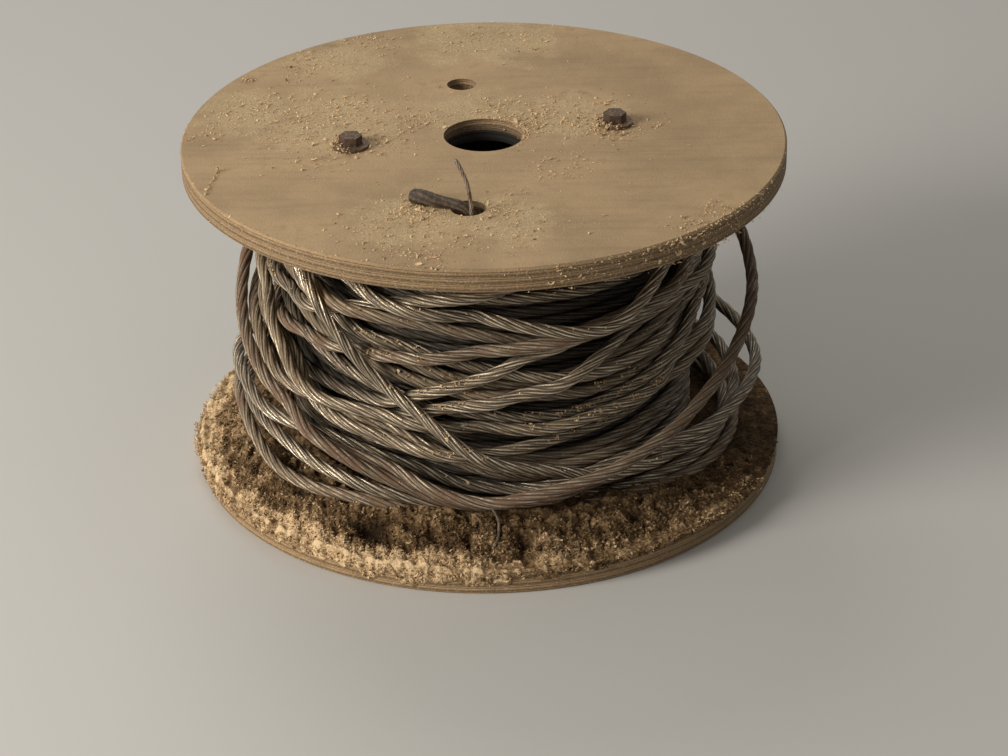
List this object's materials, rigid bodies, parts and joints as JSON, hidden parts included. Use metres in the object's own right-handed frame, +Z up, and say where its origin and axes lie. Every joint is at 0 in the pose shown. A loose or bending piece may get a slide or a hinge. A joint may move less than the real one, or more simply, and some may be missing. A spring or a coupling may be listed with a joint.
{
  "type": "cable drum",
  "caption": "Plywood cable drum standing on its lower flange, wound loosely with rusty steel wire rope.",
  "frame": {"origin": "centre of the lower flange's foot, on the spindle axis, at floor height", "axes": "+Z up along the spindle axis; -Y towards the rope's exit hole and the viewer; +X to the right"},
  "size_m": [0.3, 0.3, 0.2017],
  "materials": {
    "plywood": "weathered, dusty",
    "barrel_board": "matt",
    "wire_rope": "greasy, rust patches",
    "rusty_steel": "rusty",
    "zinc_steel": "dull"
  },
  "bodies": {
    "root": {"bottom_flange": "plywood", "top_flange": "plywood", "barrel": "barrel_board", "rope_winding": "wire_rope", "upper_turn": "wire_rope", "steep_turn": "wire_rope", "low_turn": "wire_rope", "wide_turn": "wire_rope", "rope_inner_end": "wire_rope", "loose_strand": "wire_rope", "left_bolt": "rusty_steel", "right_bolt": "rusty_steel", "left_washer": "rusty_steel", "right_washer": "rusty_steel", "left_tee_nut": "zinc_steel", "right_tee_nut": "zinc_steel"}
  },
  "joints": []
}
